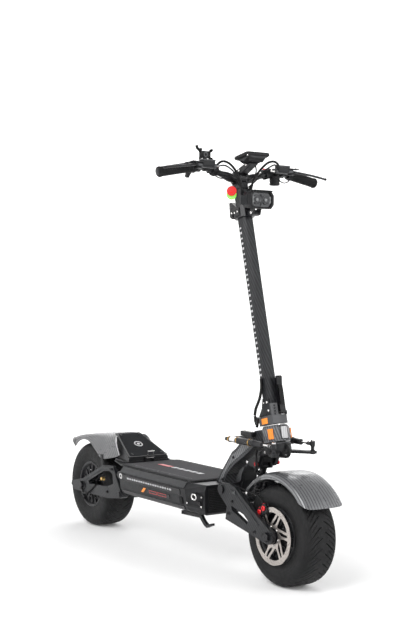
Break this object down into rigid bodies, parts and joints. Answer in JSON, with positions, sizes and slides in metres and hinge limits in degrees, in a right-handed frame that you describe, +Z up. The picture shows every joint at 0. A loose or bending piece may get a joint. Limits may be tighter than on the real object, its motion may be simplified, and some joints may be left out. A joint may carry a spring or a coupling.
{
  "type": "electric kick scooter",
  "caption": "Folding stand-up electric scooter with wide flat deck, two hub-motor wheels on sprung swingarms, curved fenders, steering dampers, tall stem and risen handlebar.",
  "frame": {"origin": "on the ground, under the middle of the bounding box", "axes": "+X forward along the direction of travel, +Y to the rider's left, +Z up"},
  "size_m": [1.541, 0.682, 1.4248],
  "materials": {
    "black_frame": "satin",
    "carbon": "gloss woven pattern",
    "mat": "matte",
    "silver_fender": "gloss",
    "tyre": "matte",
    "steel": "brushed",
    "black_metal": "black anodised",
    "black_plastic": "matte",
    "rubber": "matte",
    "kick_plate": "satin",
    "amber": "clear",
    "red": "gloss",
    "battery": "matte",
    "head_grey": "satin"
  },
  "bodies": {
    "frame": {"deck_shell": "black_frame", "deck_plate": "black_frame", "deck_mat": "mat", "battery_pack": "battery", "motor_controller": "black_metal", "front_panel": "rubber", "kick_plate": "kick_plate", "neck": "carbon", "head_tube": "black_metal", "head_cover": "head_grey", "turn_light_right": "amber", "turn_light_left": "amber", "rear_pivot_pin": "steel"},
    "steered_fork": {"fork": "black_frame", "front_pivot_pin": "black_metal", "fold_base": "head_grey"},
    "stem": {"stem_tube": "carbon", "stem_collar": "black_metal", "handlebar": "black_metal", "grip_right": "rubber", "grip_left": "rubber", "brake_mount_right": "black_metal", "brake_mount_left": "black_metal", "switch_pod": "black_plastic", "display": "black_plastic", "bar_hoses": "rubber"},
    "kickstand_arm": {"kickstand": "black_metal"},
    "catch_loop": {"stem_catch": "steel"},
    "clamp_lever": {"fold_lever": "black_metal"},
    "damper_body_right": {"steering_damper_right": "black_metal"},
    "damper_body_left": {"steering_damper_left": "black_metal"},
    "damper_slide_right": {"damper_rod_right": "steel"},
    "damper_slide_left": {"damper_rod_left": "steel"},
    "lever_right": {"brake_lever_right": "black_metal"},
    "lever_left": {"brake_lever_left": "black_metal"},
    "thumb_throttle": {"throttle": "black_plastic"},
    "button": {"mode_button": "red"},
    "lamp": {"headlight": "black_plastic"},
    "phone_holder": {"phone_clip": "black_plastic"},
    "front_arm": {"front_swingarm": "carbon", "front_fender": "silver_fender", "front_caliper": "black_metal", "front_axle": "steel"},
    "front_wheel": {"front_tyre": "tyre", "front_hub": "black_metal", "front_rotor": "steel"},
    "front_shock_upper": {"front_shock_body": "black_metal", "front_shock_spring": "red"},
    "front_shock_lower": {"front_shock_rod": "steel"},
    "rear_arm": {"rear_swingarm": "carbon", "rear_fender": "silver_fender", "rear_caliper": "black_metal", "rear_axle": "steel"},
    "rear_wheel": {"rear_tyre": "tyre", "rear_hub": "black_metal", "rear_rotor": "steel"},
    "rear_shock_upper": {"rear_shock_body": "black_metal", "rear_shock_spring": "red"},
    "rear_shock_lower": {"rear_shock_rod": "steel"}
  },
  "joints": [
    {"name": "steering", "type": "hinge", "parent": "frame", "child": "steered_fork", "pos_m": [0.525, 0, 0.45], "axis": [-0.247, 0, 0.969], "range_deg": [-20, 20]},
    {"name": "stem_fold", "type": "hinge", "parent": "steered_fork", "child": "stem", "pos_m": [0.45774, 0, 0.51954], "axis": [0, -1, 0], "range_deg": [0, 84.5]},
    {"name": "fold_lever_swing", "type": "hinge", "parent": "steered_fork", "child": "clamp_lever", "pos_m": [0.53363, 0.0145, 0.55178], "axis": [0, 1, 0], "range_deg": [0, 75]},
    {"name": "front_swing", "type": "hinge", "parent": "steered_fork", "child": "front_arm", "pos_m": [0.352, 0, 0.282], "axis": [0, -1, 0], "range_deg": [0, 8], "stiffness_Nm_per_rad": 900, "springref_deg": -8.59},
    {"name": "front_wheel_spin", "type": "hinge", "parent": "front_arm", "child": "front_wheel", "pos_m": [0.6055, 0, 0.165], "axis": [0, 1, 0], "continuous": true},
    {"name": "front_shock_swing", "type": "hinge", "parent": "steered_fork", "child": "front_shock_upper", "pos_m": [0.458, 0, 0.366], "axis": [0, -1, 0], "range_deg": [-0.5, 1]},
    {"name": "front_shock_slide", "type": "slide", "parent": "front_shock_upper", "child": "front_shock_lower", "axis": [0.3546, 0, 0.935], "range_m": [0, 0.01]},
    {"name": "rear_swing", "type": "hinge", "parent": "frame", "child": "rear_arm", "pos_m": [-0.317, 0, 0.168], "axis": [0, 1, 0], "range_deg": [0, 5], "stiffness_Nm_per_rad": 1200, "springref_deg": -8.59},
    {"name": "rear_wheel_spin", "type": "hinge", "parent": "rear_arm", "child": "rear_wheel", "pos_m": [-0.6055, 0, 0.165], "axis": [0, 1, 0], "continuous": true},
    {"name": "rear_shock_swing", "type": "hinge", "parent": "frame", "child": "rear_shock_upper", "pos_m": [-0.304, 0, 0.252], "axis": [0, 1, 0], "range_deg": [0, 2.7]},
    {"name": "rear_shock_slide", "type": "slide", "parent": "rear_shock_upper", "child": "rear_shock_lower", "axis": [0.7614, 0, 0.6483], "range_m": [0, 0.0055]},
    {"name": "damper_swing_right", "type": "hinge", "parent": "frame", "child": "damper_body_right", "pos_m": [0.365, -0.08, 0.4515], "axis": [0, 0, 1], "range_deg": [-7, 7]},
    {"name": "damper_slide_right", "type": "slide", "parent": "damper_body_right", "child": "damper_slide_right", "axis": [1, 0, 0], "range_m": [-0.0276, 0.0276]},
    {"name": "damper_swing_left", "type": "hinge", "parent": "frame", "child": "damper_body_left", "pos_m": [0.365, 0.08, 0.4515], "axis": [0, 0, 1], "range_deg": [-7, 7]},
    {"name": "damper_slide_left", "type": "slide", "parent": "damper_body_left", "child": "damper_slide_left", "axis": [1, 0, 0], "range_m": [-0.0276, 0.0276]},
    {"name": "brake_right", "type": "hinge", "parent": "stem", "child": "lever_right", "pos_m": [0.342, -0.214, 1.36051], "axis": [0, 0, -1], "range_deg": [0, 11], "stiffness_Nm_per_rad": 0.8, "springref_deg": -17.19},
    {"name": "brake_left", "type": "hinge", "parent": "stem", "child": "lever_left", "pos_m": [0.342, 0.214, 1.36051], "axis": [0, 0, 1], "range_deg": [0, 11], "stiffness_Nm_per_rad": 0.8, "springref_deg": -17.19},
    {"name": "throttle_press", "type": "hinge", "parent": "stem", "child": "thumb_throttle", "pos_m": [0.303, -0.195, 1.35419], "axis": [0, -1, 0], "range_deg": [0, 25], "stiffness_Nm_per_rad": 0.3, "springref_deg": -22.92},
    {"name": "mode_press", "type": "slide", "parent": "stem", "child": "button", "axis": [0, 0, -1], "range_m": [0, 0.002], "stiffness_N_per_m": 300, "springref_m": -0.002},
    {"name": "headlight_tilt", "type": "hinge", "parent": "stem", "child": "lamp", "pos_m": [0.39394, 0, 1.20709], "axis": [0, 1, 0], "range_deg": [-4, 4]},
    {"name": "phone_turn", "type": "hinge", "parent": "stem", "child": "phone_holder", "pos_m": [0.303, -0.145, 1.37429], "axis": [0, 0, 1], "range_deg": [-30, 30]},
    {"name": "kickstand_swing", "type": "hinge", "parent": "frame", "child": "kickstand_arm", "pos_m": [0.14, -0.104, 0.172], "axis": [0, 1, 0], "range_deg": [0, 55]},
    {"name": "catch_swing", "type": "hinge", "parent": "frame", "child": "catch_loop", "pos_m": [-0.253, 0, 0.3085], "axis": [0, 1, 0], "range_deg": [0, 35], "stiffness_Nm_per_rad": 0.05, "springref_deg": -22.92}
  ],
  "couplings": [
    {"joint": "front_shock_swing", "follows": "front_swing", "ratio": 0.037},
    {"joint": "front_shock_slide", "follows": "front_swing", "m_per_rad": 0.0696},
    {"joint": "rear_shock_swing", "follows": "rear_swing", "ratio": 0.515},
    {"joint": "rear_shock_slide", "follows": "rear_swing", "m_per_rad": 0.0566},
    {"joint": "damper_swing_right", "follows": "steering", "ratio": 0.34},
    {"joint": "damper_slide_right", "follows": "steering", "m_per_rad": 0.077},
    {"joint": "damper_swing_left", "follows": "steering", "ratio": 0.34},
    {"joint": "damper_slide_left", "follows": "steering", "m_per_rad": -0.077}
  ]
}
